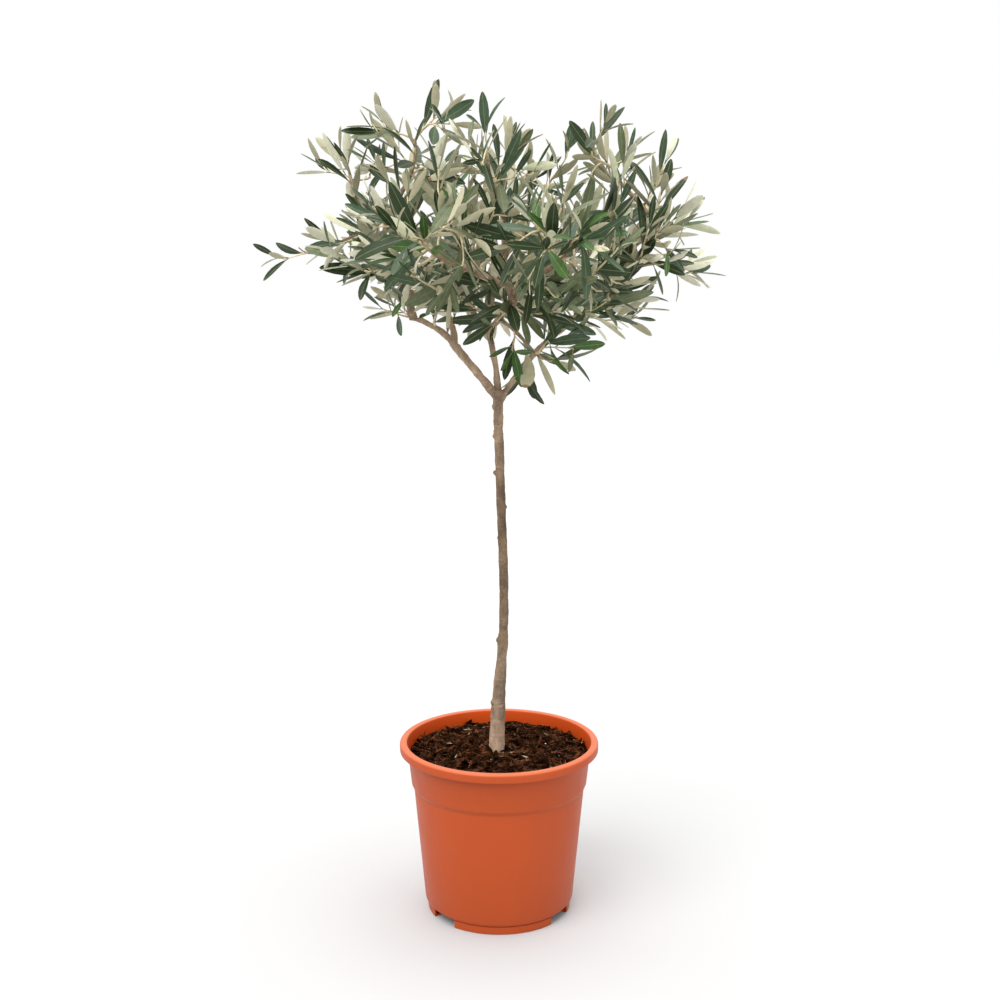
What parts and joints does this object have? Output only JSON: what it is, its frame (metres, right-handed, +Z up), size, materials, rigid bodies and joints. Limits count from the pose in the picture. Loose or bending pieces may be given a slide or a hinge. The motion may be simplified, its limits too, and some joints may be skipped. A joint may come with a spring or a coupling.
{
  "type": "potted olive tree",
  "caption": "Young olive tree grown as a standard: thin bare trunk, forking boughs and a broad, loose crown, in a round tapered pot of compost.",
  "frame": {"origin": "centre of the pot's flat underside, on the ground", "axes": "+Z up along the trunk, -Y the tree's front, +X its right side as seen from the front"},
  "size_m": [0.4682, 0.4128, 0.8584],
  "materials": {
    "pot_plastic": "satin terracotta-orange moulded plastic",
    "compost": "dark brown bark compost, matte",
    "bark": "grey-brown bark, matte",
    "foliage": "grey-green leaves, silvery beneath"
  },
  "bodies": {
    "root": {"pot": "pot_plastic", "soil": "compost", "trunk": "bark", "bough_left": "bark", "bough_left_inner": "bark", "bough_left_outer": "bark", "bough_middle": "bark", "bough_middle_back": "bark", "bough_middle_front": "bark", "bough_right": "bark", "foliage_back": "foliage", "foliage_back_left": "foliage", "foliage_back_right": "foliage", "foliage_core": "foliage", "foliage_front_left": "foliage", "foliage_front_right": "foliage", "foliage_hanging": "foliage", "foliage_left": "foliage", "foliage_low_back": "foliage", "foliage_low_front": "foliage", "foliage_low_left": "foliage", "foliage_low_right": "foliage", "foliage_right": "foliage", "foliage_tip_left": "foliage", "foliage_tip_right": "foliage", "foliage_top_back": "foliage", "foliage_top_front": "foliage", "foliage_top_left": "foliage", "foliage_top_right": "foliage", "foliage_upper_left": "foliage"}
  },
  "joints": []
}
